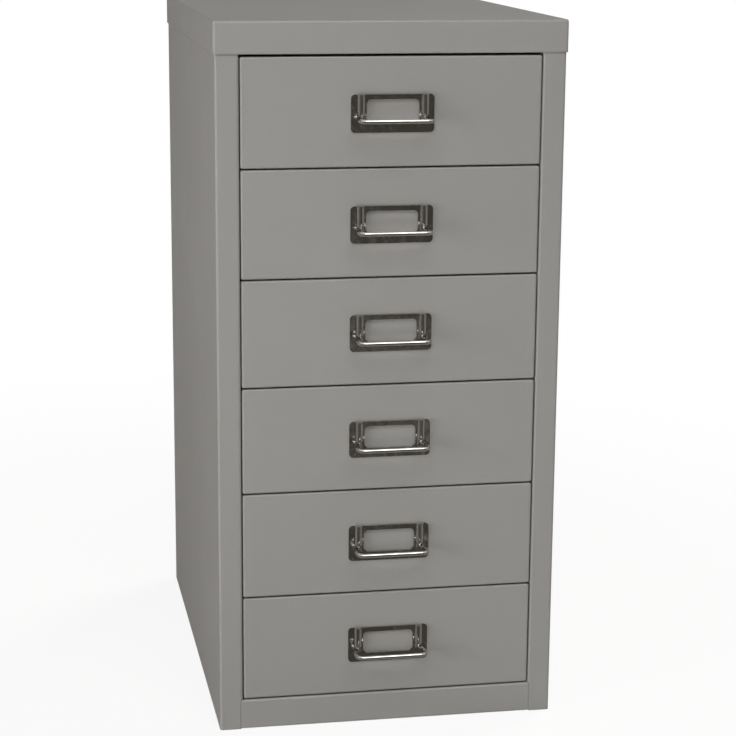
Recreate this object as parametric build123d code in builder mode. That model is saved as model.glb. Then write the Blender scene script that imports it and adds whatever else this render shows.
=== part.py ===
from build123d import *
import os

# A small six-drawer cabinet of folded sheet steel.
# Millimetres. +Z is up, the front faces -Y, and the origin is the centre of the footprint on the floor.

# ---- Overall sizes -------------------------------------------------------------------------------
overall_height = 580.0
body_width = 280.0
body_depth = 400.0
drawer_count = 6

# ---- Sheet thicknesses and folds -----------------------------------------------------------------
panel_sheet = 0.9  # casing and drawer fronts
tray_sheet = 0.8  # drawer boxes
frame_sheet = 1.2  # posts and runners
plate_sheet = 1.0  # label frame
fold_radius = 2.0  # outside radius of the casing's folds
front_fold_radius = 1.3  # outside radius round a drawer front
front_corner_radius = 1.6
tray_fold_radius = 2.0

# ---- Casing --------------------------------------------------------------------------------------
lid_skirt = 25.8
lid_fold_radius = 1.8
stile_width = 19.0
stile_return = 12.0
rear_return = 15.0
top_flange = 15.0
rail_height = 25.3
rail_notch = 1.6  # how far the bottom rail is let into each stile
rail_return = 14.0
rail_lip = 8.0
base_flange = 15.0
header_return = 14.0
header_lip = 8.0

# ---- Posts and runners ---------------------------------------------------------------------------
post_width = 28.0
front_post_setback = 14.0  # from the front face to the front post
rear_post_setback = 26.0  # from the rear face to the rear post
post_fold_radius = 2.0
runner_height = 7.0  # inside the channel
runner_lip = 4.4  # how far each leg stands in from the web
runner_drop = 12.0  # from the top of a drawer front to its runner's riding face
stop_height = 5.5

# ---- Drawers -------------------------------------------------------------------------------------
front_return = 12.0
tray_width = 230.0
tray_flange = 4.8  # from the tray's outer wall
tray_rim_drop = 11.2  # from the top of the drawer front to the tray's rim
tray_rear_space = 26.0  # between the tray and the back panel
tray_tail = 46.7  # length of the tray behind its lugs, which stays inside when the drawer is open
lug_height = 5.1
tray_back_hem = 5.0

# ---- Handle: pressed label frame and wire bow ----------------------------------------------------
plate_width = 66.6
plate_height = 30.0
plate_corner_radius = 3.4
plate_drop = 1.2  # plate's centre below the middle of the drawer front
window_width = 42.2
window_height = 18.6
window_corner_radius = 3.6  # upper corners
window_corner_cut = 3.0  # lower corners
window_top_bar = 3.8
card_space = 1.2  # room for a card behind the frame
pocket_half_width = 26.6
pocket_floor = 2.6  # closed strip along the plate's lower edge
rib_spacing = 51.0  # between the two ribs' centre lines
bow_diameter = 3.8
bow_flats = 8  # the round wire is drawn with this many flats
bow_reach = 22.0  # from the drawer front to the middle of the bar
bow_leg_spacing = 57.2
bow_drop = 4.4  # bar's centre below the middle of the plate
bow_end_inset = 2.0  # wire's end below the plate's top edge
bow_splay_reach = 8.0  # where the legs have reached their full spacing
bow_corner_radius = 5.2
bow_heel_radius = 3.0
bow_splay_radius = 7.0
tab_thickness = 1.0
tab_height = 8.0
tab_spacing = 60.0
tab_turn = 5.0

# ---- Clearances ----------------------------------------------------------------------------------
lid_clearance = 0.2
relief = 1.0  # round the ends of folds and flanges
side_gap = 0.8
drawer_gap = 1.3
lid_gap = 2.0
flange_clearance = 0.6
stop_clearance = 0.3
wire_clearance = 0.3
mouth_clearance = 0.8
slot_clearance = 0.3

# ---- Derived places ------------------------------------------------------------------------------
front_y = -body_depth / 2
rear_y = body_depth / 2
side_x = body_width / 2
top_z = overall_height - panel_sheet  # under the lid
opening_top = overall_height - lid_skirt
opening_half = side_x - stile_width
front_width = 2 * (opening_half - side_gap)
drawer_stack = opening_top - rail_height - lid_gap - drawer_count * drawer_gap
front_height = drawer_stack / drawer_count
drawer_pitch = front_height + drawer_gap
inner_side_x = side_x - panel_sheet
inner_front_y = front_y + panel_sheet
inner_rear_y = rear_y - panel_sheet

tray_half = tray_width / 2
flange_edge = tray_half + tray_flange
ride_z = front_height - runner_drop
rim_z = front_height - tray_rim_drop
tray_front_y = front_y + front_fold_radius  # just behind the front's inner fold
tray_rear_y = inner_rear_y - panel_sheet - tray_rear_space
web_x = flange_edge + flange_clearance
post_x = web_x + frame_sheet
runner_front_y = front_y + front_post_setback
runner_rear_y = tray_rear_y + stop_clearance + frame_sheet
lug_y = tray_rear_y - tray_tail

plate_z = front_height / 2 - plate_drop
plate_top = plate_z + plate_height / 2
rib_x = rib_spacing / 2
bow_radius = bow_diameter / 2
rib_bore = bow_radius + wire_clearance
rib_outer = rib_bore + plate_sheet
bow_z = plate_z - bow_drop
rib_bottom = bow_z + bow_heel_radius + wire_clearance  # the wire is straight inside the rib
rib_length = plate_top - rib_bottom
frame_face = card_space + plate_sheet  # how far the raised frame stands off the drawer front


def stored(piece, label):
    """Names a finished piece and writes it."""
    piece.label = label
    export_step(piece, f"parts/{label}.step")


# ---- Casing --------------------------------------------------------------------------------------


def make_side():
    """Left side panel: stile return, stile, side and rear return in one fold."""
    middle = panel_sheet / 2
    with BuildPart() as side:
        with BuildSketch(Plane.XY):
            with BuildLine():
                FilletPolyline(
                    (-opening_half - middle, front_y + stile_return),
                    (-opening_half - middle, front_y + middle),
                    (-side_x + middle, front_y + middle),
                    (-side_x + middle, rear_y - middle),
                    (-side_x + rear_return, rear_y - middle),
                    radius=fold_radius - middle,
                )
            trace(line_width=panel_sheet)
        extrude(amount=top_z)
        # the rail's end is let into the foot of the stile
        with BuildSketch(Plane.XY):
            with Locations((-opening_half, front_y)):
                Rectangle(2 * rail_notch, 2 * (stile_return + relief))
        extrude(amount=rail_height, mode=Mode.SUBTRACT)
        # stile and rear return stop below the lid's fold
        with BuildSketch(Plane.XY.offset(top_z)):
            with Locations((-side_x, front_y), (-side_x, rear_y)):
                Rectangle(4 * stile_width, 2 * fold_radius)
        extrude(amount=-fold_radius, mode=Mode.SUBTRACT)
        # flange that carries the lid, folded over along the side
        with BuildSketch(Plane.XY.offset(top_z)):
            with Locations((-inner_side_x, 0)):
                Rectangle(top_flange, body_depth - 2 * fold_radius, align=(Align.MIN, Align.CENTER))
        extrude(amount=-panel_sheet)
        top_edges = side.edges().filter_by(Axis.Y).group_by(Axis.Z)[-1]
        fillet(top_edges.sort_by(Axis.X)[0], lid_fold_radius)
    return side.part


def make_lid():
    """Folded cap with a skirt on all four sides."""
    outside_x = body_width + 2 * (lid_clearance + panel_sheet)
    outside_y = body_depth + 2 * (lid_clearance + panel_sheet)
    with BuildPart() as lid:
        with BuildSketch(Plane.XY.offset(overall_height - lid_skirt)):
            RectangleRounded(outside_x, outside_y, fold_radius)
        extrude(amount=lid_skirt)
        fillet(lid.faces().sort_by(Axis.Z)[-1].edges(), lid_fold_radius)
        with BuildSketch(Plane.XY.offset(overall_height - lid_skirt)):
            inside_x = outside_x - 2 * panel_sheet
            inside_y = outside_y - 2 * panel_sheet
            RectangleRounded(inside_x, inside_y, fold_radius - panel_sheet)
        extrude(amount=lid_skirt - panel_sheet, mode=Mode.SUBTRACT)
    return lid.part


def make_base_pan():
    """Floor of the cabinet, folded up at the front into the bottom rail."""
    middle = panel_sheet / 2
    rail_half = opening_half + rail_notch
    post_line = front_y + front_post_setback + post_width
    rear_post_line = rear_y - rear_post_setback - post_width
    with BuildPart() as base_pan:
        with BuildSketch(Plane.YZ.offset(-rail_half)):
            with BuildLine():
                FilletPolyline(
                    (front_y + rail_return - middle, rail_height - rail_lip),
                    (front_y + rail_return - middle, rail_height - middle),
                    (front_y + middle, rail_height - middle),
                    (front_y + middle, middle),
                    (inner_rear_y - panel_sheet - middle, middle),
                    (inner_rear_y - panel_sheet - middle, base_flange),
                    radius=fold_radius - middle,
                )
            trace(line_width=panel_sheet)
        extrude(amount=2 * rail_half)
        # floor out to the side panels, behind the stiles
        with BuildSketch(Plane.XY):
            with Locations((0, front_y + fold_radius)):
                floor_length = inner_rear_y - panel_sheet - front_y - 2 * fold_radius
                Rectangle(2 * inner_side_x, floor_length, align=(Align.CENTER, Align.MIN))
        extrude(amount=panel_sheet)
        # flanges turned up against the side panels, between the posts
        with BuildSketch(Plane.XY):
            with Locations((0, (post_line + rear_post_line) / 2)):
                with GridLocations(2 * inner_side_x - panel_sheet, 0, 2, 1):
                    Rectangle(panel_sheet, rear_post_line - post_line - 2 * relief)
        extrude(amount=base_flange)
    return base_pan.part


def make_back_panel():
    """Flat back, lapped inside the rear returns of the sides."""
    with BuildPart() as back_panel:
        with BuildSketch(Plane.XZ.offset(-inner_rear_y)):
            with Locations((0, top_z / 2)):
                Rectangle(2 * inner_side_x, top_z)
            # corners clear the top flanges and the folds
            with Locations((0, top_z)):
                with GridLocations(2 * inner_side_x, 0, 2, 1):
                    Rectangle(2 * (top_flange + relief), 2 * (panel_sheet + relief), mode=Mode.SUBTRACT)
            with Locations((0, top_z / 2)):
                with GridLocations(2 * inner_side_x, 0, 2, 1):
                    Rectangle(2 * fold_radius, top_z, mode=Mode.SUBTRACT)
        extrude(amount=panel_sheet)
    return back_panel.part


def make_front_header():
    """Cross rail behind the lid's front skirt."""
    middle = panel_sheet / 2
    with BuildPart() as front_header:
        with BuildSketch(Plane.YZ.offset(-opening_half)):
            with BuildLine():
                FilletPolyline(
                    (front_y + header_return - middle, opening_top + header_lip),
                    (front_y + header_return - middle, opening_top + middle),
                    (front_y + middle, opening_top + middle),
                    (front_y + middle, top_z - middle),
                    (front_y + header_return, top_z - middle),
                    radius=fold_radius - middle,
                )
            trace(line_width=panel_sheet)
        extrude(amount=2 * opening_half)
    return front_header.part


# ---- Posts and runners ---------------------------------------------------------------------------


def make_post(post_front_y):
    """Left upright: a channel whose legs stand on the side panel."""
    middle = frame_sheet / 2
    with BuildPart() as post:
        with BuildSketch(Plane.XY.offset(panel_sheet)):
            with BuildLine():
                FilletPolyline(
                    (-inner_side_x, post_front_y + middle),
                    (-post_x - middle, post_front_y + middle),
                    (-post_x - middle, post_front_y + post_width - middle),
                    (-inner_side_x, post_front_y + post_width - middle),
                    radius=post_fold_radius - middle,
                )
            trace(line_width=frame_sheet)
        extrude(amount=top_z - 2 * panel_sheet)
    return post.part


def make_runner():
    """Left runner: a channel open inwards, with a front stop and a closed rear end."""
    middle = frame_sheet / 2
    leg_end = web_x - runner_lip
    length = runner_rear_y - runner_front_y
    with BuildPart() as runner:
        with BuildSketch(Plane.XZ.offset(-runner_front_y)):
            with BuildLine():
                Polyline(
                    (-leg_end, ride_z - middle),
                    (-web_x - middle, ride_z - middle),
                    (-web_x - middle, ride_z + runner_height + middle),
                    (-leg_end, ride_z + runner_height + middle),
                )
            trace(line_width=frame_sheet)
        extrude(amount=-length)
        # front stop, turned down from the upper leg
        with BuildSketch(Plane.XZ.offset(-runner_front_y)):
            with Locations((-leg_end, ride_z + runner_height)):
                Rectangle(runner_lip - flange_clearance, stop_height, align=(Align.MAX, Align.MAX))
        extrude(amount=-frame_sheet)
        # closed rear end, which the tray meets when shut
        with BuildSketch(Plane.XZ.offset(-runner_rear_y)):
            with Locations((-leg_end, ride_z)):
                Rectangle(runner_lip, runner_height, align=(Align.MAX, Align.MIN))
        extrude(amount=frame_sheet)
    return runner.part


# ---- Drawer, at its own height: z = 0 is the lower edge of its front ------------------------------


def make_drawer_front():
    """Drawer front: a shallow pan, open behind, with slots for the handle's tabs."""
    with BuildPart() as drawer_front:
        with BuildSketch(Plane.XZ.offset(-front_y)):
            with Locations((0, front_height / 2)):
                RectangleRounded(front_width, front_height, front_corner_radius)
        extrude(amount=-front_return)
        fillet(drawer_front.faces().sort_by(Axis.Y)[0].edges(), front_fold_radius)
        with BuildSketch(Plane.XZ.offset(-inner_front_y)):
            with Locations((0, front_height / 2)):
                Rectangle(front_width - 2 * panel_sheet, front_height - 2 * panel_sheet)
        extrude(amount=-front_return, mode=Mode.SUBTRACT)
        with BuildSketch(Plane.XZ.offset(-front_y)):
            with Locations((0, plate_z)):
                with GridLocations(tab_spacing, 0, 2, 1):
                    Rectangle(tab_thickness + 2 * slot_clearance, tab_height + 2 * slot_clearance)
        extrude(amount=-2 * panel_sheet, mode=Mode.SUBTRACT)
    return drawer_front.part


def make_drawer_tray():
    """Drawer box with riding flanges, stop lugs and a hemmed back."""
    tray_z = panel_sheet
    with BuildPart() as drawer_tray:
        with BuildSketch(Plane.XY.offset(tray_z)):
            with Locations((0, tray_front_y)):
                tray_length = tray_rear_y - tray_front_y
                Rectangle(tray_width, tray_length, align=(Align.CENTER, Align.MIN))
        extrude(amount=rim_z - tray_z)
        sides = drawer_tray.edges().filter_by(Axis.Y).group_by(Axis.Z)[0]
        back = drawer_tray.edges().filter_by(Axis.X).group_by(Axis.Y)[-1].sort_by(Axis.Z)[:1]
        fillet(sides + back, tray_fold_radius)
        with BuildSketch(Plane.XZ.offset(-tray_front_y)):
            with BuildLine():
                FilletPolyline(
                    (-tray_half + tray_sheet, rim_z),
                    (-tray_half + tray_sheet, tray_z + tray_sheet),
                    (tray_half - tray_sheet, tray_z + tray_sheet),
                    (tray_half - tray_sheet, rim_z),
                    radius=tray_fold_radius - tray_sheet,
                )
                Line((tray_half - tray_sheet, rim_z), (-tray_half + tray_sheet, rim_z))
            make_face()
        extrude(amount=-(tray_rear_y - tray_sheet - tray_front_y), mode=Mode.SUBTRACT)
        # riding flanges, behind the returns of the drawer front
        flange_front_y = front_y + front_return + stop_clearance
        with BuildSketch(Plane.XY.offset(rim_z)):
            with Locations((0, flange_front_y)):
                with GridLocations(2 * tray_half + tray_flange, 0, 2, 1):
                    flange_length = tray_rear_y - tray_fold_radius - flange_front_y
                    Rectangle(tray_flange, flange_length, align=(Align.CENTER, Align.MIN))
        extrude(amount=-tray_sheet)
        # rear ends of the flanges, which meet the runners' closed ends
        with BuildSketch(Plane.XY.offset(rim_z)):
            with Locations((0, tray_rear_y)):
                with GridLocations(2 * flange_edge - tray_flange + flange_clearance, 0, 2, 1):
                    width = tray_flange - flange_clearance
                    Rectangle(width, 2 * tray_fold_radius, align=(Align.CENTER, Align.MAX))
        extrude(amount=-tray_sheet)
        # lugs that meet the runners' front stops
        with BuildSketch(Plane.XZ.offset(-lug_y)):
            with Locations((0, rim_z)):
                with GridLocations(2 * flange_edge - tray_flange + flange_clearance, 0, 2, 1):
                    width = tray_flange - flange_clearance
                    Rectangle(width, lug_height, align=(Align.CENTER, Align.MIN))
        extrude(amount=-tray_sheet)
        # hem along the back wall
        with BuildSketch(Plane.XY.offset(rim_z)):
            with Locations((0, tray_rear_y - tray_sheet / 2)):
                hem_length = tray_width - 4 * tray_fold_radius
                Rectangle(hem_length, tray_back_hem, align=(Align.CENTER, Align.MIN))
        extrude(amount=-tray_sheet)
    return drawer_tray.part


# ---- Handle --------------------------------------------------------------------------------------


def make_handle_plate():
    """Label frame: flat ears, a raised card pocket open at the top and two ribs for the wire."""
    window_z = plate_top - window_top_bar - window_height / 2
    with BuildPart() as handle_plate:
        # flat blank against the drawer front
        with BuildSketch(Plane.XZ.offset(-front_y)):
            with Locations((0, plate_z)):
                RectangleRounded(plate_width, plate_height, plate_corner_radius)
        extrude(amount=plate_sheet)
        # raised pocket
        pocket_height = plate_height - pocket_floor
        with BuildSketch(Plane.XZ.offset(-front_y)):
            with Locations((0, plate_top)):
                Rectangle(2 * pocket_half_width, pocket_height, align=(Align.CENTER, Align.MAX))
        extrude(amount=frame_face)
        # ribs
        with BuildSketch(Plane.XY.offset(plate_top)):
            with Locations((0, front_y - rib_bore)):
                with GridLocations(rib_spacing, 0, 2, 1):
                    Circle(rib_outer)
            with Locations((0, front_y)):
                Rectangle(plate_width, 2 * rib_outer, align=(Align.CENTER, Align.MIN), mode=Mode.SUBTRACT)
        extrude(amount=-rib_length)
        # card space behind the frame, between the ribs' inner walls
        pocket_inner = pocket_half_width - plate_sheet
        with BuildSketch(Plane.XZ.offset(-front_y)):
            with Locations((0, plate_top)):
                Rectangle(
                    2 * pocket_inner,
                    pocket_height - plate_sheet,
                    align=(Align.CENTER, Align.MAX),
                )
        extrude(amount=card_space, mode=Mode.SUBTRACT)
        # channels for the wire
        with BuildSketch(Plane.XY.offset(plate_top)):
            with Locations((0, front_y - rib_bore)):
                with GridLocations(rib_spacing, 0, 2, 1):
                    Circle(rib_bore)
            with Locations((0, front_y - rib_bore / 2)):
                with GridLocations(rib_spacing, 0, 2, 1):
                    Rectangle(2 * rib_bore, rib_bore)
        extrude(amount=-rib_length, mode=Mode.SUBTRACT)
        # mouths below the ribs, where the wire turns out
        with BuildSketch(Plane.XZ.offset(-front_y)):
            with Locations((0, rib_bottom)):
                with GridLocations(rib_spacing, 0, 2, 1):
                    mouth_width = 2 * (rib_bore + mouth_clearance)
                    mouth_height = rib_bottom - (bow_z - bow_radius)
                    Rectangle(mouth_width, mouth_height, align=(Align.CENTER, Align.MAX))
        extrude(amount=rib_outer, mode=Mode.SUBTRACT)
        # label window, round in its upper corners and cut across in its lower ones
        with BuildSketch(Plane.XZ.offset(-front_y)) as window:
            with Locations((0, window_z)):
                Rectangle(window_width, window_height)
            fillet(window.vertices().group_by(Axis.Y)[-1], window_corner_radius)
            chamfer(window.vertices().group_by(Axis.Y)[0], window_corner_cut)
        extrude(amount=rib_outer * 2, mode=Mode.SUBTRACT)
        # tabs through the drawer front, turned in behind it
        with BuildSketch(Plane.XZ.offset(-front_y)):
            with Locations((0, plate_z)):
                with GridLocations(tab_spacing, 0, 2, 1):
                    Rectangle(tab_thickness, tab_height)
        extrude(amount=-panel_sheet - tab_thickness)
        with BuildSketch(Plane.XZ.offset(-front_y - panel_sheet)):
            with Locations((0, plate_z)):
                with GridLocations(tab_spacing + tab_thickness - tab_turn, 0, 2, 1):
                    Rectangle(tab_turn, tab_height)
        extrude(amount=-tab_thickness)
    return handle_plate.part


def make_handle_pull():
    """Wire bow: each end stands in a rib, and the legs run out to a straight bar."""
    leg_x = bow_leg_spacing / 2
    wire_y = front_y - rib_bore
    splay_y = front_y - bow_splay_reach
    bar_y = front_y - bow_reach
    wire_top = plate_top - bow_end_inset
    with BuildPart() as handle_pull:
        with BuildLine() as route:
            FilletPolyline(
                (-rib_x, wire_y, wire_top),
                (-rib_x, wire_y, bow_z),
                (-leg_x, splay_y, bow_z),
                (-leg_x, bar_y, bow_z),
                (leg_x, bar_y, bow_z),
                (leg_x, splay_y, bow_z),
                (rib_x, wire_y, bow_z),
                (rib_x, wire_y, wire_top),
                radius=[
                    bow_heel_radius,
                    bow_splay_radius,
                    bow_corner_radius,
                    bow_corner_radius,
                    bow_splay_radius,
                    bow_heel_radius,
                ],
            )
        # the flats lie square to the bends
        splay = (rib_x - leg_x, splay_y - wire_y, 0)
        with BuildSketch(Plane(route.line @ 0, x_dir=splay, z_dir=route.line % 0)):
            RegularPolygon(bow_radius, bow_flats, rotation=180 / bow_flats)
        sweep()
    return handle_pull.part


# ---- Write every piece ---------------------------------------------------------------------------

os.makedirs("parts", exist_ok=True)

left_side = make_side()
stored(left_side, "left_side")
stored(mirror(left_side, about=Plane.YZ), "right_side")
stored(make_lid(), "lid")
stored(make_base_pan(), "base_pan")
stored(make_back_panel(), "back_panel")
stored(make_front_header(), "front_header")

post_places = {
    "front": front_y + front_post_setback,
    "rear": rear_y - rear_post_setback - post_width,
}
for place, post_front_y in post_places.items():
    left_post = make_post(post_front_y)
    stored(left_post, f"post_{place}_left")
    stored(mirror(left_post, about=Plane.YZ), f"post_{place}_right")

left_runner = make_runner()
drawer_pieces = {
    "runner_left": left_runner,
    "runner_right": mirror(left_runner, about=Plane.YZ),
    "drawer_tray": make_drawer_tray(),
    "drawer_front": make_drawer_front(),
    "handle_plate": make_handle_plate(),
    "handle_pull": make_handle_pull(),
}
for number in range(1, drawer_count + 1):
    # drawer 1 is at the top
    drawer_z = rail_height + drawer_gap + (drawer_count - number) * drawer_pitch
    for name, piece in drawer_pieces.items():
        stored(Pos(0, 0, drawer_z) * piece, f"{name}_{number}")
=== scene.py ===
"""Looks of a small six-drawer cabinet of enamelled sheet steel with chromed label handles."""

import math

import bmesh
import bpy
from bpy.props import FloatProperty, FloatVectorProperty, IntProperty, PointerProperty
from mathutils import Matrix, Quaternion, Vector


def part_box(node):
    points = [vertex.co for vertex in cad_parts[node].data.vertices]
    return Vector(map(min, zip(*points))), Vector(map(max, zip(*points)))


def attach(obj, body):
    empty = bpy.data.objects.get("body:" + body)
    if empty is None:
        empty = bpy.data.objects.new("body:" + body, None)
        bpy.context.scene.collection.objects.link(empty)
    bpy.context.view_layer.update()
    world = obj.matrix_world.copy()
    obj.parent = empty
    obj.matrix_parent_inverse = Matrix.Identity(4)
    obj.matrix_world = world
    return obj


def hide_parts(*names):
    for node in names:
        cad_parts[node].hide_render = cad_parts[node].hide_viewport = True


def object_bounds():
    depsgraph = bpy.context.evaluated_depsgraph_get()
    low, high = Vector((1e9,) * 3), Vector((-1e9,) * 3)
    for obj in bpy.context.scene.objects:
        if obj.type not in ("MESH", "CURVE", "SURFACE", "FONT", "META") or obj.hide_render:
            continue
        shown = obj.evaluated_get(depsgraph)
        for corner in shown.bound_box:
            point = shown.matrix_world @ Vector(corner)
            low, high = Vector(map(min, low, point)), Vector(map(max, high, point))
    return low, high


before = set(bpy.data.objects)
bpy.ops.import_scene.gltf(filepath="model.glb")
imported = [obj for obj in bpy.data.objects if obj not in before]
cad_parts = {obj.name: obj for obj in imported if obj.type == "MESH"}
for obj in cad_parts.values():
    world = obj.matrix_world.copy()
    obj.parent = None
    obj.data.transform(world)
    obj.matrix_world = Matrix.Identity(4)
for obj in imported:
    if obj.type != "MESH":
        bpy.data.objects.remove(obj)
CAD_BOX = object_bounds()

bl_info = {
    "name": "Small Drawer Cabinet",
    "version": (1, 0, 0),
    "blender": (4, 5, 0),
    "location": "3D View > Sidebar > Cabinet",
    "description": "Enamelled casing and drawers, chromed label frames and wire pulls, and a plain studio",
    "category": "Object",
}

MM = 0.001  # the frame is in metres

DRAWERS = range(1, 1 + sum(name.startswith("drawer_front_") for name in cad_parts))
CASING_NODES = ("lid", "back_panel", "front_header")
PANEL_NODES = ("left_side", "right_side", "base_pan")
FRAME_NODES = tuple(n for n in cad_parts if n.startswith(("post_", "runner_")))

BOW_LOW, BOW_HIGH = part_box("handle_pull_1")
LEG_SPACING = 57.2 * MM  # between the centre lines of the bow's two legs

ONE_POINT = 0.001 * MM  # corners closer than this are one corner
FLAT_WITHIN = math.radians(1)  # faces that meet at less than this are one flat face
EASED_BEYOND = math.radians(35)  # a sharper turn than this is an edge, and not a step of a fold
SHARP_BEYOND = math.radians(50)  # a sharper turn than this still shades as a hard edge

ENAMEL = "Stove_enamel_sprayed_and_baked_satin_grey"
CHROME = "Chromium_plate_on_polished_steel"


def linear(hex_colour, alpha=1.0):
    """An sRGB hex colour as linear RGBA."""
    channels = [int(hex_colour[i : i + 2], 16) / 255 for i in (0, 2, 4)]
    return (*(c / 12.92 if c <= 0.04045 else ((c + 0.055) / 1.055) ** 2.4 for c in channels), alpha)


# ---- Sizes and colours ---------------------------------------------------------------------------


class CabinetFinishes(bpy.types.PropertyGroup):
    """Colours of the finishes, and the real sizes of their patterns."""

    enamel: FloatVectorProperty(
        name="Enamel",
        description="Warm mid grey stove enamel on the casing and the drawers",
        default=linear("8d8b88"),
        subtype="COLOR",
        size=4,
        min=0,
        max=1,
    )
    peel_pitch: FloatProperty(
        name="Orange peel",
        description="Distance from hump to hump in the sprayed enamel",
        default=1.6 * MM,
        unit="LENGTH",
        subtype="DISTANCE",
    )
    sheet_wave: FloatProperty(
        name="Sheet wave",
        description="Length of the slow waves that folding leaves in thin sheet",
        default=140 * MM,
        unit="LENGTH",
        subtype="DISTANCE",
    )
    edge_roll: FloatProperty(
        name="Edge roll",
        description="Width over which the coat rolls round a fold or an edge of the sheet",
        default=1.8 * MM,
        unit="LENGTH",
        subtype="DISTANCE",
    )
    sheared_edge: FloatProperty(
        name="Sheared edge",
        description="Radius that paint leaves on a sheared edge of the sheet",
        default=0.45 * MM,
        unit="LENGTH",
        subtype="DISTANCE",
    )
    zinc: FloatVectorProperty(
        name="Zinc",
        description="Zinc-coated steel of the posts and runners",
        default=linear("b4b6b8"),
        subtype="COLOR",
        size=4,
        min=0,
        max=1,
    )
    spangle: FloatProperty(
        name="Spangle",
        description="Width of one zinc crystal",
        default=5 * MM,
        unit="LENGTH",
        subtype="DISTANCE",
    )
    chrome: FloatVectorProperty(
        name="Chrome",
        description="Chromium plating on the label frames and the wire bows",
        default=linear("c6c5c2"),
        subtype="COLOR",
        size=4,
        min=0,
        max=1,
    )
    polish_pitch: FloatProperty(
        name="Polishing marks",
        description="Distance between the faint waves that polishing leaves under the plating",
        default=7 * MM,
        unit="LENGTH",
        subtype="DISTANCE",
    )


class CabinetHandles(bpy.types.PropertyGroup):
    """Sizes of the wire bow and of the label frame's pressed edges."""

    wire: FloatProperty(
        name="Wire",
        description="Diameter of the bow's wire",
        default=BOW_HIGH.x - BOW_LOW.x - LEG_SPACING,
        unit="LENGTH",
        subtype="DISTANCE",
    )
    rib_spacing: FloatProperty(
        name="Rib spacing",
        description="Between the centre lines of the two ribs that hold the wire",
        default=51 * MM,
        unit="LENGTH",
        subtype="DISTANCE",
    )
    rib_bore: FloatProperty(
        name="Rib bore",
        description="From the drawer front to the middle of the wire inside a rib",
        default=2.2 * MM,
        unit="LENGTH",
        subtype="DISTANCE",
    )
    splay_reach: FloatProperty(
        name="Splay reach",
        description="How far in front of the drawer the legs have reached their full spacing",
        default=8 * MM,
        unit="LENGTH",
        subtype="DISTANCE",
    )
    heel_radius: FloatProperty(
        name="Heel radius",
        description="Bend where the wire leaves its rib, on the wire's centre line",
        default=3 * MM,
        unit="LENGTH",
        subtype="DISTANCE",
    )
    splay_radius: FloatProperty(
        name="Splay radius",
        description="Bend where the legs turn forward, on the wire's centre line",
        default=7 * MM,
        unit="LENGTH",
        subtype="DISTANCE",
    )
    corner_radius: FloatProperty(
        name="Corner radius",
        description="Bend at each end of the bar, on the wire's centre line",
        default=5.2 * MM,
        unit="LENGTH",
        subtype="DISTANCE",
    )
    wire_sides: IntProperty(
        name="Wire sides",
        description="Points round the wire",
        default=24,
        min=8,
        max=64,
    )
    bend_steps: IntProperty(
        name="Bend steps",
        description="Steps in a quarter turn of the wire",
        default=12,
        min=3,
        max=48,
    )
    pressed_edge: FloatProperty(
        name="Pressed edge",
        description="Radius that pressing and polishing leave on the label frame's edges",
        default=0.3 * MM,
        unit="LENGTH",
        subtype="DISTANCE",
    )


class CabinetStudio(bpy.types.PropertyGroup):
    """Camera, lamps and floor."""

    camera_place: FloatVectorProperty(
        name="Camera place",
        description="Where the lens stands",
        default=(-313.4 * MM, -1792.5 * MM, 676.1 * MM),
        unit="LENGTH",
        subtype="TRANSLATION",
        size=3,
    )
    heading: FloatProperty(
        name="Heading",
        description="Turn of the camera to the right of straight ahead",
        default=0.1833,
        unit="ROTATION",
        subtype="ANGLE",
    )
    tilt: FloatProperty(
        name="Tilt",
        description="How far the camera looks down",
        default=0.2262,
        unit="ROTATION",
        subtype="ANGLE",
    )
    roll: FloatProperty(
        name="Roll",
        description="Lean of the camera about its own line of sight",
        default=0.0073,
        unit="ROTATION",
        subtype="ANGLE",
    )
    lens: FloatProperty(
        name="Lens",
        description="Focal length on a sensor 36 mm wide, in millimetres",
        default=101.04,
        min=10,
    )
    ambient: FloatProperty(
        name="Ambient light",
        description="Strength of the even light from all round",
        default=0.04,
        min=0,
        max=1,
    )
    key_power: FloatProperty(
        name="Overhead softbox",
        description="Power of the large softbox above the front",
        default=38,
        unit="POWER",
        min=0,
    )
    side_power: FloatProperty(
        name="Side softbox",
        description="Power of the softbox that lights the left side",
        default=41,
        unit="POWER",
        min=0,
    )
    low_power: FloatProperty(
        name="Low softbox",
        description="Power of the softbox near the floor, which fills the lower drawers and the rail",
        default=1.0,
        unit="POWER",
        min=0,
    )
    rear_power: FloatProperty(
        name="Rear softbox",
        description="Power of the softbox behind and to the right, which lights the faces turned away",
        default=80,
        unit="POWER",
        min=0,
    )
    room: FloatVectorProperty(
        name="Dark room",
        description="Colour of the room behind the camera, which the chrome mirrors",
        default=linear("4a453f"),
        subtype="COLOR",
        size=4,
        min=0,
        max=1,
    )
    floor: FloatVectorProperty(
        name="Floor",
        description="Matt white floor paper",
        default=linear("f3f2ef"),
        subtype="COLOR",
        size=4,
        min=0,
        max=1,
    )
    shadow_reach: FloatProperty(
        name="Shadow reach",
        description="How far from the cabinet its shadow on the floor fades out",
        default=1.3,
        unit="LENGTH",
        subtype="DISTANCE",
    )
    floor_size: FloatProperty(
        name="Floor size",
        description="Side of the square floor",
        default=14.0,
        unit="LENGTH",
        subtype="DISTANCE",
    )


# ---- Nodes ---------------------------------------------------------------------------------------


def add_node(tree, kind, inputs=None, **settings):
    """Adds one node with its settings; each input is a value or the socket that feeds it."""
    node = tree.nodes.new(kind)
    for name, value in settings.items():
        setattr(node, name, value)
    for socket, value in (inputs or {}).items():
        if isinstance(value, bpy.types.NodeSocket):
            tree.links.new(value, node.inputs[socket])
        else:
            node.inputs[socket].default_value = value
    return node


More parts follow.
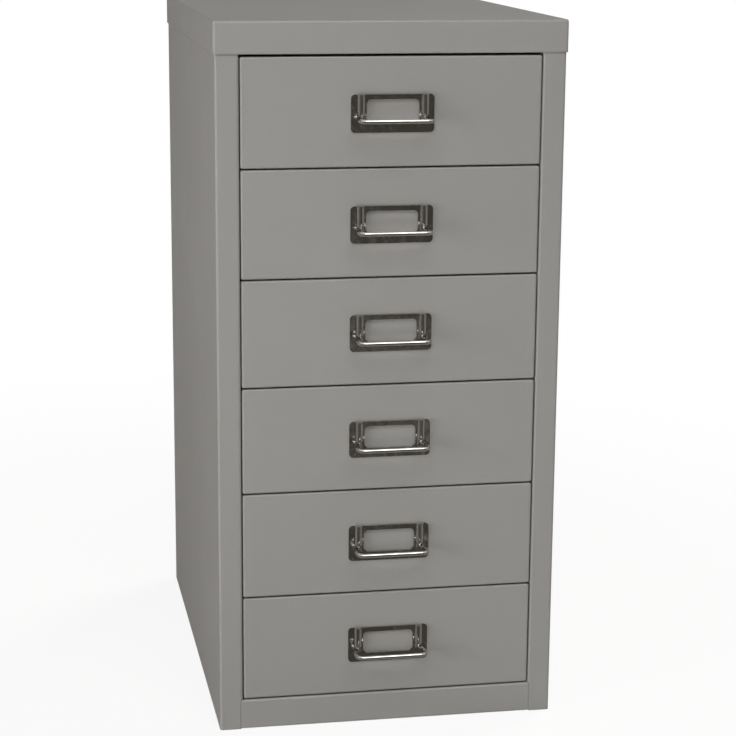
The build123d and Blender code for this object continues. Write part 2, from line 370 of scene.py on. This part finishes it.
def blank_material(name):
    """An empty material of that name, and its node tree."""
    material = bpy.data.materials.new(name)
    material.use_nodes = True
    material.node_tree.nodes.clear()
    return material, material.node_tree


# ---- Finishes ------------------------------------------------------------------------------------


def stoved_enamel(finishes):
    """Stove enamel, sprayed on folded sheet steel and baked.

    To the eye it is an even satin grey: broad soft highlights that brighten along each fold, a faint
    orange peel where the light grazes it, and slow waves where the thin sheet isn't quite flat.
    """
    material, tree = blank_material(ENAMEL)
    place = add_node(tree, "ShaderNodeTexCoord").outputs["Object"]
    # the coat is a little thicker here and thinner there, over about a hand's width
    coat = add_node(
        tree,
        "ShaderNodeTexNoise",
        {"Vector": place, "Scale": 1 / (90 * MM), "Detail": 3.0, "Roughness": 0.55},
    )
    # pigment grain is far finer than a pixel, so it is drawn at 0.9 mm, where it just shows
    grain = add_node(
        tree,
        "ShaderNodeTexNoise",
        {"Vector": place, "Scale": 1 / (0.9 * MM), "Detail": 1.0},
    )
    # three quarters of the coat's cloud on top of the grain, which together run from about 0.45 to 1.3
    tone = add_node(
        tree,
        "ShaderNodeMath",
        {0: coat.outputs["Fac"], 1: 0.75, 2: grain.outputs["Fac"]},
        operation="MULTIPLY_ADD",
    )
    share = add_node(
        tree,
        "ShaderNodeMapRange",
        {"Value": tone.outputs[0], "From Min": 0.45, "From Max": 1.3, "To Min": 0.975, "To Max": 1.025},
    )
    colour = add_node(
        tree,
        "ShaderNodeVectorMath",
        {0: finishes.enamel[:3], "Scale": share.outputs["Result"]},
        operation="SCALE",
    )
    gloss = add_node(
        tree,
        "ShaderNodeMapRange",
        {"Value": coat.outputs["Fac"], "To Min": 0.3, "To Max": 0.4},
    )
    wave = add_node(
        tree,
        "ShaderNodeTexNoise",
        {"Vector": place, "Scale": 1 / finishes.sheet_wave, "Detail": 0.0},
    )
    peel = add_node(
        tree,
        "ShaderNodeTexNoise",
        {"Vector": place, "Scale": 1 / finishes.peel_pitch, "Detail": 1.0},
    )
    # the coat draws back from the very edge, so each fold and seam catches the light as a fine line
    rolled = add_node(tree, "ShaderNodeBevel", {"Radius": finishes.edge_roll}, samples=6)
    waved = add_node(
        tree,
        "ShaderNodeBump",
        {
            "Height": wave.outputs["Fac"],
            "Distance": 0.5 * MM,
            "Strength": 0.5,
            "Normal": rolled.outputs["Normal"],
        },
    )
    peeled = add_node(
        tree,
        "ShaderNodeBump",
        {
            "Height": peel.outputs["Fac"],
            "Distance": 0.02 * MM,
            "Strength": 0.6,
            "Normal": waved.outputs["Normal"],
        },
    )
    shader = add_node(
        tree,
        "ShaderNodeBsdfPrincipled",
        {
            "Base Color": colour.outputs["Vector"],
            "Roughness": gloss.outputs["Result"],
            "IOR": 1.5,
            "Normal": peeled.outputs["Normal"],
        },
    )
    add_node(tree, "ShaderNodeOutputMaterial", {"Surface": shader.outputs["BSDF"]})
    return material


def zinc_coated_steel(finishes):
    """Zinc-coated steel, dipped as a coil before it is folded.

    To the eye it is a pale matt metal with a faint patchwork of crystals, each a little lighter or
    duller than the next.
    """
    material, tree = blank_material("Zinc_coated_steel_hot_dipped_with_spangle")
    place = add_node(tree, "ShaderNodeTexCoord").outputs["Object"]
    crystal = add_node(
        tree,
        "ShaderNodeTexVoronoi",
        {"Vector": place, "Scale": 1 / finishes.spangle, "Randomness": 1.0},
    )
    one = add_node(tree, "ShaderNodeSeparateColor", {"Color": crystal.outputs["Color"]}).outputs["Red"]
    share = add_node(
        tree, "ShaderNodeMapRange", {"Value": one, "To Min": 0.84, "To Max": 1.04}
    )
    colour = add_node(
        tree,
        "ShaderNodeVectorMath",
        {0: finishes.zinc[:3], "Scale": share.outputs["Result"]},
        operation="SCALE",
    )
    gloss = add_node(tree, "ShaderNodeMapRange", {"Value": one, "To Min": 0.34, "To Max": 0.5})
    shader = add_node(
        tree,
        "ShaderNodeBsdfPrincipled",
        {
            "Base Color": colour.outputs["Vector"],
            "Metallic": 1.0,
            "Roughness": gloss.outputs["Result"],
        },
    )
    add_node(tree, "ShaderNodeOutputMaterial", {"Surface": shader.outputs["BSDF"]})
    return material


def chrome_plate(finishes):
    """Chromium plating over nickel, on polished pressed steel and wire.

    To the eye it is a mirror with a slightly uneven surface: it is as dark as the room it faces,
    with a hard white line wherever a bend catches the softbox.
    """
    material, tree = blank_material(CHROME)
    place = add_node(tree, "ShaderNodeTexCoord").outputs["Object"]
    # handling leaves the mirror a trace duller in patches about a fingertip wide
    touch = add_node(
        tree,
        "ShaderNodeTexNoise",
        {"Vector": place, "Scale": 1 / (12 * MM), "Detail": 4.0, "Roughness": 0.6},
    )
    gloss = add_node(
        tree,
        "ShaderNodeMapRange",
        {"Value": touch.outputs["Fac"], "From Min": 0.35, "From Max": 0.7, "To Min": 0.07, "To Max": 0.16},
    )
    colour = add_node(
        tree,
        "ShaderNodeMix",
        {0: touch.outputs["Fac"], 6: finishes.chrome, 7: linear("b9b6b0")},
        data_type="RGBA",
    )
    wave = add_node(
        tree,
        "ShaderNodeTexNoise",
        {"Vector": place, "Scale": 1 / finishes.polish_pitch, "Detail": 1.0},
    )
    waved = add_node(
        tree,
        "ShaderNodeBump",
        {"Height": wave.outputs["Fac"], "Distance": 0.3 * MM, "Strength": 0.8},
    )
    shader = add_node(
        tree,
        "ShaderNodeBsdfPrincipled",
        {
            "Base Color": colour.outputs[2],
            "Metallic": 1.0,
            "Roughness": gloss.outputs["Result"],
            "Normal": waved.outputs["Normal"],
        },
    )
    add_node(tree, "ShaderNodeOutputMaterial", {"Surface": shader.outputs["BSDF"]})
    return material


def floor_paper(studio):
    """Matt white floor paper, seamless, which keeps a soft shadow and fades into the white behind it."""
    material, tree = blank_material("Paper_matt_white_rolled")
    path = add_node(tree, "ShaderNodeLightPath").outputs
    place = add_node(tree, "ShaderNodeTexCoord").outputs["Object"]
    away = add_node(tree, "ShaderNodeVectorMath", {0: place}, operation="LENGTH")
    # the share of plain white grows from the foot of the cabinet outwards, so the shadow fades out
    share = add_node(
        tree,
        "ShaderNodeMapRange",
        {
            "Value": away.outputs["Value"],
            "From Min": 0.25,
            "From Max": studio.shadow_reach,
            "To Min": 0.88,
            "To Max": 1.0,
        },
        interpolation_type="SMOOTHSTEP",
    )
    seen = add_node(
        tree,
        "ShaderNodeMath",
        {0: path["Is Camera Ray"], 1: path["Is Transmission Ray"]},
        operation="ADD",
    )
    washed = add_node(
        tree, "ShaderNodeMath", {0: seen.outputs[0], 1: share.outputs["Result"]}, operation="MULTIPLY"
    )
    paper = add_node(tree, "ShaderNodeBsdfDiffuse", {"Color": studio.floor})
    white = add_node(tree, "ShaderNodeEmission", {"Color": linear("ffffff"), "Strength": 1.0})
    mix = add_node(
        tree,
        "ShaderNodeMixShader",
        {0: washed.outputs[0], 1: paper.outputs["BSDF"], 2: white.outputs["Emission"]},
    )
    add_node(tree, "ShaderNodeOutputMaterial", {"Surface": mix.outputs["Shader"]})
    return material


def finish_named(name, make, settings):
    """The material of that name if it has been made, or else a new one."""
    return bpy.data.materials.get(name) or make(settings)


def paint(nodes, material):
    """Gives every material slot of these CAD nodes the finish."""
    for name in nodes:
        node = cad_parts[name]
        for slot in node.material_slots:
            slot.material = material


# ---- Shapes --------------------------------------------------------------------------------------


def bent_line(corners, radii, steps):
    """Points along straight runs joined by bends, as wire is bent round formers."""
    line = [corners[0]]
    for i, radius in enumerate(radii, start=1):
        before, corner, after = corners[i - 1], corners[i], corners[i + 1]
        towards = (before - corner).normalized()
        onwards = (after - corner).normalized()
        turn = math.pi - towards.angle(onwards)
        reach = radius * math.tan(turn / 2)
        start = corner + towards * reach
        middle = corner + (towards + onwards).normalized() * (radius / math.cos(turn / 2))
        axis = (-towards).cross(onwards).normalized()
        count = max(2, math.ceil(steps * turn / (math.pi / 2)))
        spoke = start - middle
        line += [middle + Quaternion(axis, turn * k / count) @ spoke for k in range(count + 1)]
    return [*line, corners[-1]]


def sweep_wire(line, radius, sides):
    """A mesh of round wire along the line, with its two ends rounded off."""
    bm = bmesh.new()
    ahead = [(b - a).normalized() for a, b in zip(line, line[1:])]
    headings = [ahead[0], *((a + b).normalized() for a, b in zip(ahead, ahead[1:])), ahead[-1]]
    across = headings[0].orthogonal().normalized()
    rings = []

    def ring(centre, heading, side_way, size):
        other = heading.cross(side_way)
        angles = [2 * math.pi * k / sides for k in range(sides)]
        points = [centre + (side_way * math.cos(a) + other * math.sin(a)) * size for a in angles]
        rings.append([bm.verts.new(p) for p in points])

    lift = radius * 0.35  # how far the dressed end stands beyond the wire's last full ring
    ring(line[0], headings[0], across, radius * 0.7)
    ring(line[0] + headings[0] * lift, headings[0], across, radius)
    for centre, last, heading in zip(line[1:-1], headings, headings[1:]):
        across = last.rotation_difference(heading) @ across
        ring(centre, heading, across, radius)
    across = headings[-2].rotation_difference(headings[-1]) @ across
    ring(line[-1] - headings[-1] * lift, headings[-1], across, radius)
    ring(line[-1], headings[-1], across, radius * 0.7)
    for here, there in zip(rings, rings[1:]):
        for k in range(sides):
            face = bm.faces.new((here[k], here[k - 1], there[k - 1], there[k]))
            face.smooth = True
    bm.faces.new(rings[0])
    bm.faces.new(reversed(rings[-1]))
    bmesh.ops.recalc_face_normals(bm, faces=bm.faces)
    return bm


def new_piece(name, bm, material):
    """Turns finished mesh data into a piece with one material."""
    mesh = bpy.data.meshes.new(name)
    bm.to_mesh(mesh)
    bm.free()
    mesh.materials.append(material)
    piece = bpy.data.objects.new(name, mesh)
    bpy.context.scene.collection.objects.link(piece)
    return piece


def hand_over(piece, body, node):
    """Lets a piece stand for its CAD node and move with its body."""
    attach(piece, body)
    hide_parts(node)


def eased_copy(name, node, radius, segments, material):
    """A copy of a CAD node's mesh with its sharp edges rounded, as pressing and finishing leave them."""
    bm = bmesh.new()
    bm.from_mesh(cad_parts[node].data)
    bmesh.ops.remove_doubles(bm, verts=bm.verts, dist=ONE_POINT)
    bmesh.ops.dissolve_limit(bm, angle_limit=FLAT_WITHIN, verts=bm.verts, edges=bm.edges)
    bmesh.ops.bevel(
        bm,
        geom=[edge for edge in bm.edges if edge.calc_face_angle(0) > EASED_BEYOND],
        offset=radius,
        offset_type="OFFSET",
        segments=segments,
        profile=0.5,
        affect="EDGES",
        clamp_overlap=True,
    )
    for face in bm.faces:
        face.smooth = True
    piece = new_piece(name, bm, material)
    piece.data.set_sharp_from_angle(angle=SHARP_BEYOND)
    # the flats stay flat to the light, and only the narrow rounded edges turn it
    weighted = piece.modifiers.new("flat_faces_first", "WEIGHTED_NORMAL")
    weighted.mode = "FACE_AREA"
    weighted.weight = 100
    weighted.keep_sharp = True
    return piece


# ---- Operators -----------------------------------------------------------------------------------


class CABINET_OT_enamel_casing(bpy.types.Operator):
    """Enamel the lid, back panel and front header"""

    bl_idname = "cabinet.enamel_casing"
    bl_label = "Enamel Casing"

    def execute(self, context):
        paint(CASING_NODES, finish_named(ENAMEL, stoved_enamel, context.scene.cabinet_finishes))
        return {"FINISHED"}


class CABINET_OT_folded_panels(bpy.types.Operator):
    """Build the sides and the base pan with sheared edges rounded, so that the seam between them shows"""

    bl_idname = "cabinet.folded_panels"
    bl_label = "Build Folded Panels"

    def execute(self, context):
        finishes = context.scene.cabinet_finishes
        enamel = finish_named(ENAMEL, stoved_enamel, finishes)
        for node in PANEL_NODES:
            piece = eased_copy(f"{node}_panel", node, finishes.sheared_edge, 2, enamel)
            hand_over(piece, "cabinet", node)
        return {"FINISHED"}


class CABINET_OT_enamel_drawers(bpy.types.Operator):
    """Enamel the drawer fronts and trays"""

    bl_idname = "cabinet.enamel_drawers"
    bl_label = "Enamel Drawers"

    def execute(self, context):
        enamel = finish_named(ENAMEL, stoved_enamel, context.scene.cabinet_finishes)
        for number in DRAWERS:
            paint((f"drawer_front_{number}", f"drawer_tray_{number}"), enamel)
        return {"FINISHED"}


class CABINET_OT_zinc_frame(bpy.types.Operator):
    """Finish the posts and runners as zinc-coated steel"""

    bl_idname = "cabinet.zinc_frame"
    bl_label = "Zinc Posts and Runners"

    def execute(self, context):
        paint(FRAME_NODES, zinc_coated_steel(context.scene.cabinet_finishes))
        return {"FINISHED"}


class CABINET_OT_label_frames(bpy.types.Operator):
    """Build the pressed and chromed label frames with their edges rounded"""

    bl_idname = "cabinet.label_frames"
    bl_label = "Build Label Frames"

    def execute(self, context):
        handles = context.scene.cabinet_handles
        chrome = finish_named(CHROME, chrome_plate, context.scene.cabinet_finishes)
        for number in DRAWERS:
            node = f"handle_plate_{number}"
            piece = eased_copy(f"label_frame_{number}", node, handles.pressed_edge, 3, chrome)
            hand_over(piece, f"drawer_{number}", node)
        return {"FINISHED"}


class CABINET_OT_wire_bows(bpy.types.Operator):
    """Bend the chromed wire bows that the label frames hold"""

    bl_idname = "cabinet.wire_bows"
    bl_label = "Build Wire Bows"

    def execute(self, context):
        handles = context.scene.cabinet_handles
        chrome = finish_named(CHROME, chrome_plate, context.scene.cabinet_finishes)
        half = handles.wire / 2
        rib = handles.rib_spacing / 2
        for number in DRAWERS:
            node = f"handle_pull_{number}"
            low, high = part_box(node)
            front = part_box(f"drawer_front_{number}")[0].y
            leg = high.x - half
            wire_y = front - handles.rib_bore
            splay_y = front - handles.splay_reach
            bar_y = low.y + half
            bow_z = low.z + half
            right = [
                Vector((leg, bar_y, bow_z)),
                Vector((leg, splay_y, bow_z)),
                Vector((rib, wire_y, bow_z)),
                Vector((rib, wire_y, high.z)),
            ]
            left = [Vector((-p.x, p.y, p.z)) for p in reversed(right)]
            bends = [handles.heel_radius, handles.splay_radius, handles.corner_radius]
            line = bent_line(left + right, bends + bends[::-1], handles.bend_steps)
            bm = sweep_wire(line, half, handles.wire_sides)
            piece = new_piece(f"wire_bow_{number}", bm, chrome)
            hand_over(piece, f"drawer_{number}", node)
        return {"FINISHED"}


class CABINET_OT_studio(bpy.types.Operator):
    """Set up the floor, the lamps, the surroundings and the camera"""

    bl_idname = "cabinet.studio"
    bl_label = "Set Up Studio"

    def execute(self, context):
        studio = context.scene.cabinet_studio
        self.lay_floor(studio)
        self.light_room(context.scene, studio)
        self.place_lamps(studio)
        self.place_camera(context.scene, studio)
        context.scene.view_settings.view_transform = "Standard"
        return {"FINISHED"}

    def lay_floor(self, studio):
        bm = bmesh.new()
        bmesh.ops.create_grid(bm, x_segments=8, y_segments=8, size=studio.floor_size / 2)
        floor = new_piece("floor", bm, floor_paper(studio))
        floor.visible_glossy = False  # the chrome mirrors the dark room, and not the floor's glare

    def light_room(self, scene, studio):
        world = bpy.data.worlds.new("White_backdrop_and_dark_room")
        world.use_nodes = True
        tree = world.node_tree
        tree.nodes.clear()
        path = add_node(tree, "ShaderNodeLightPath").outputs
        way = add_node(tree, "ShaderNodeTexCoord").outputs["Generated"]
        parts = add_node(tree, "ShaderNodeSeparateXYZ", {"Vector": way}).outputs
        # gloss mirrors a white ceiling, grey walls to both sides, a grey floor and a dark room in front,
        # with paler things standing about in it that give the flat plating its light and dark patches
        above = add_node(
            tree, "ShaderNodeMapRange", {"Value": parts["Z"], "From Min": 0.3, "From Max": 0.45}
        )
        across = add_node(tree, "ShaderNodeMath", {0: parts["X"]}, operation="ABSOLUTE")
        aside = add_node(
            tree,
            "ShaderNodeMapRange",
            {"Value": across.outputs[0], "From Min": 0.55, "From Max": 0.8, "To Max": 0.22},
        )
        below = add_node(
            tree,
            "ShaderNodeMapRange",
            {"Value": parts["Z"], "From Min": -0.5, "From Max": -0.75, "To Max": 0.22},
        )
        around = add_node(
            tree,
            "ShaderNodeMath",
            {0: aside.outputs["Result"], 1: below.outputs["Result"]},
            operation="MAXIMUM",
        )
        things = add_node(
            tree, "ShaderNodeTexNoise", {"Vector": way, "Scale": 7.0, "Detail": 1.0}
        )
        clutter = add_node(
            tree,
            "ShaderNodeMapRange",
            {"Value": things.outputs["Fac"], "From Min": 0.5, "From Max": 0.68, "To Max": 0.16},
        )
        about = add_node(
            tree,
            "ShaderNodeMath",
            {0: around.outputs[0], 1: clutter.outputs["Result"]},
            operation="MAXIMUM",
        )
        pale = add_node(
            tree,
            "ShaderNodeMath",
            {0: above.outputs["Result"], 1: about.outputs[0]},
            operation="MAXIMUM",
        )
        mirrored = add_node(
            tree,
            "ShaderNodeMix",
            {0: pale.outputs[0], 6: studio.room, 7: linear("ffffff")},
            data_type="RGBA",
        )
        glossy = add_node(tree, "ShaderNodeBackground", {"Color": mirrored.outputs[2], "Strength": 1.0})
        even = add_node(
            tree, "ShaderNodeBackground", {"Color": linear("ffffff"), "Strength": studio.ambient}
        )
        white = add_node(tree, "ShaderNodeBackground", {"Color": linear("ffffff"), "Strength": 1.0})
        seen = add_node(
            tree,
            "ShaderNodeMath",
            {0: path["Is Camera Ray"], 1: path["Is Transmission Ray"]},
            operation="ADD",
        )
        lit = add_node(
            tree,
            "ShaderNodeMixShader",
            {0: path["Is Glossy Ray"], 1: even.outputs[0], 2: glossy.outputs[0]},
        )
        all_rays = add_node(
            tree,
            "ShaderNodeMixShader",
            {0: seen.outputs[0], 1: lit.outputs[0], 2: white.outputs[0]},
        )
        add_node(tree, "ShaderNodeOutputWorld", {"Surface": all_rays.outputs[0]})
        scene.world = world

    def place_lamps(self, studio):
        middle = Vector((0, 0, (CAD_BOX[0].z + CAD_BOX[1].z) / 2))
        lamps = {
            "overhead_softbox": (Vector((0.0, -1.75, 2.3)), 2.0, 1.2, studio.key_power),
            "side_softbox": (Vector((-2.0, -1.0, 0.35)), 1.2, 1.0, studio.side_power),
            "low_softbox": (Vector((0.1, -1.1, 0.16)), 0.9, 0.24, studio.low_power),
            "rear_softbox": (Vector((2.2, 1.8, 1.6)), 1.8, 1.4, studio.rear_power),
        }
        for name, (place, width, height, power) in lamps.items():
            lamp = bpy.data.lights.new(name, "AREA")
            lamp.shape = "RECTANGLE"
            lamp.size = width
            lamp.size_y = height
            lamp.energy = power
            holder = bpy.data.objects.new(name, lamp)
            holder.location = place
            holder.rotation_euler = (middle - place).to_track_quat("-Z", "Y").to_euler()
            holder.visible_camera = False
            holder.visible_glossy = name == "overhead_softbox"  # the chrome shows no other lamp
            bpy.context.scene.collection.objects.link(holder)

    def place_camera(self, scene, studio):
        heading, tilt, roll = studio.heading, studio.tilt, studio.roll
        ahead = Vector(
            (
                math.sin(heading) * math.cos(tilt),
                math.cos(heading) * math.cos(tilt),
                -math.sin(tilt),
            )
        )
        level = Vector((math.cos(heading), -math.sin(heading), 0))
        upright = level.cross(ahead)
        right = level * math.cos(roll) + upright * math.sin(roll)
        up = upright * math.cos(roll) - level * math.sin(roll)
        lens = bpy.data.cameras.new("camera")
        lens.sensor_width = 36
        lens.lens = studio.lens
        lens.clip_start = 0.05
        lens.clip_end = 50
        camera = bpy.data.objects.new("camera", lens)
        turn = Matrix((right, up, -ahead)).transposed().to_4x4()
        camera.matrix_world = Matrix.Translation(studio.camera_place) @ turn
        scene.collection.objects.link(camera)
        scene.camera = camera


# ---- Panel and registration ----------------------------------------------------------------------

STEPS = (
    CABINET_OT_studio,
    CABINET_OT_enamel_casing,
    CABINET_OT_folded_panels,
    CABINET_OT_enamel_drawers,
    CABINET_OT_zinc_frame,
    CABINET_OT_label_frames,
    CABINET_OT_wire_bows,
)


class CABINET_PT_build(bpy.types.Panel):
    """Lists the steps that build the cabinet's looks"""

    bl_idname = "CABINET_PT_build"
    bl_label = "Drawer Cabinet"
    bl_space_type = "VIEW_3D"
    bl_region_type = "UI"
    bl_category = "Cabinet"

    def draw(self, context):
        scene = context.scene
        for step in STEPS:
            self.layout.operator(step.bl_idname)
        for group in (scene.cabinet_finishes, scene.cabinet_handles, scene.cabinet_studio):
            box = self.layout.box()
            for name in group.__annotations__:
                box.prop(group, name)


CLASSES = (CabinetFinishes, CabinetHandles, CabinetStudio, *STEPS, CABINET_PT_build)


def register():
    for cls in CLASSES:
        bpy.utils.register_class(cls)
    bpy.types.Scene.cabinet_finishes = PointerProperty(type=CabinetFinishes)
    bpy.types.Scene.cabinet_handles = PointerProperty(type=CabinetHandles)
    bpy.types.Scene.cabinet_studio = PointerProperty(type=CabinetStudio)


def unregister():
    del bpy.types.Scene.cabinet_studio
    del bpy.types.Scene.cabinet_handles
    del bpy.types.Scene.cabinet_finishes
    for cls in reversed(CLASSES):
        bpy.utils.unregister_class(cls)


def main():
    register()
    bpy.ops.cabinet.studio()
    bpy.ops.cabinet.enamel_casing()
    bpy.ops.cabinet.folded_panels()
    bpy.ops.cabinet.enamel_drawers()
    bpy.ops.cabinet.zinc_frame()
    bpy.ops.cabinet.label_frames()
    bpy.ops.cabinet.wire_bows()


if __name__ == "__main__":
    main()
